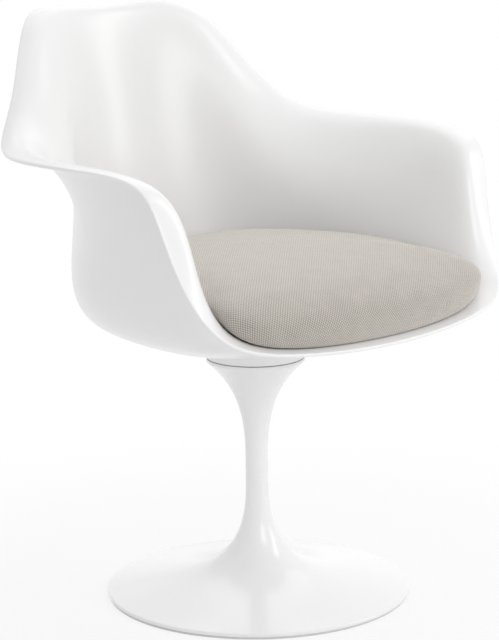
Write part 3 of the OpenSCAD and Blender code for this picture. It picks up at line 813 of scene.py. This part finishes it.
def spread(rows, pole):
    """Lays rows of points out flat round their pole, each column by its own length."""
    path = np.concatenate([np.broadcast_to(pole, (1, *rows.shape[1:])), rows])
    length = np.cumsum(np.linalg.norm(np.diff(path, axis=0), axis=2), axis=0)
    return length[:, :, None] * level(rows.reshape(-1, 3)).reshape(rows.shape)[:, :, :2]


def cushion_mesh():
    """The cushion's closed skin with its weave laid out, and the number of points before its seam."""
    top, under = cushion_rows()
    rows = np.concatenate([top, under])
    columns = rows.shape[1]
    crown = np.array([0, 0, FLOOR_Z + CUSHION_H])
    base = np.array([0, 0, FLOOR_Z + CUSHION_LIFT])
    points = np.concatenate([crown[None], rows.reshape(-1, 3), base[None]])
    flat_top = spread(top, crown)
    flat_under = spread(np.concatenate([top[-1:], under])[::-1], base)[::-1]
    faces, laid = [], []
    last = len(rows) - 1
    for i in range(columns):
        j = (i + 1) % columns
        faces.append((0, 1 + i, 1 + j))
        laid += [(0, 0), flat_top[0, i], flat_top[0, j]]
        faces.append((1 + last * columns + j, 1 + last * columns + i, len(points) - 1))
        laid += [flat_under[-1, j], flat_under[-1, i], (0, 0)]
    for r in range(last):
        flat, at = (flat_top, r) if r < len(top) - 1 else (flat_under, r - len(top) + 1)
        for i in range(columns):
            j = (i + 1) % columns
            a, b = 1 + r * columns, 1 + (r + 1) * columns
            faces.append((a + i, b + i, b + j, a + j))
            laid += [flat[at, i], flat[at + 1, i], flat[at + 1, j], flat[at, j]]
    cushion = new_object("cushion", points, faces)
    layer = cushion.data.uv_layers.new(name="weave")
    layer.data.foreach_set("uv", np.array(laid).ravel())
    return cushion, 1 + (len(top) - 1) * columns


def make_cushion():
    """The cushion in its woven cover, blown up a little from inside."""
    cushion, free = cushion_mesh()
    held = cushion.vertex_groups.new(name="held")
    held.add(list(range(free, len(cushion.data.vertices))), 1.0, "REPLACE")
    swell(cushion, free)
    cushion.vertex_groups.clear()
    cushion.data.shade_smooth()
    dress(cushion, upholstery())
    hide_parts("cushion_foam", "cushion_cover_top", "cushion_cover_base")
    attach(cushion, "cushion")


def lamp(name, place, aim, width, height, power):
    """A soft rectangular lamp that the camera doesn't see."""
    data = bpy.data.lights.new(name, "AREA")
    data.shape = "RECTANGLE"
    data.size = width
    data.size_y = height
    data.energy = power
    obj = linked(name, data)
    obj.location = place
    obj.visible_camera = False
    obj.rotation_mode = "QUATERNION"
    obj.rotation_quaternion = (Vector(aim) - Vector(place)).to_track_quat("-Z", "Y")


def make_surround():
    """An even surround, which is plain white where it shows."""
    world = bpy.data.worlds.new("surround")
    bpy.context.scene.world = world
    g = Graph(world)
    background = g.tree.nodes["Background"].inputs
    g.put(background["Color"], WHITE)
    g.put(background["Strength"], g.between(g.seen(), SURROUND, 1.0))


def make_floor():
    """A pale floor that keeps the chair's shadow and fades to plain white away from it."""
    corners = [(x * FLOOR_REACH, y * FLOOR_REACH, 0) for x, y in ((-1, -1), (1, -1), (1, 1), (-1, 1))]
    floor = new_object("floor", corners, [(0, 1, 2, 3)], smooth=False)
    g = new_graph("floor")
    g.set(Base_Color=grey(FLOOR_TONE), Roughness=FLOOR_ROUGHNESS, Specular_IOR_Level=FLOOR_SPECULAR)
    far = g.radius(g.split(g.place()))
    ends = {"Value": far, "From Min": FADE_START, "From Max": FADE_END, "To Min": FLOOR_GLOW}
    fade = g.add("ShaderNodeMapRange", ends, interpolation_type="SMOOTHSTEP").outputs["Result"]
    glow = g.add("ShaderNodeEmission", {"Color": WHITE, "Strength": 1.0}).outputs[0]
    share = g.math("MULTIPLY", g.seen(), fade)
    mixed = g.add("ShaderNodeMixShader", {0: share, 1: g.shader.outputs[0], 2: glow}).outputs[0]
    g.put(g.tree.nodes["Material Output"].inputs["Surface"], mixed)
    dress(floor, g.owner)


camera()
make_shell()
satin = coated("satin_coat", SATIN)
make_pedestal(satin)
dress_nodes(satin)
make_cushion()
bpy.context.scene.view_settings.view_transform = "Standard"
make_surround()
make_floor()
for name, settings in LAMPS.items():
    lamp(name, *settings)
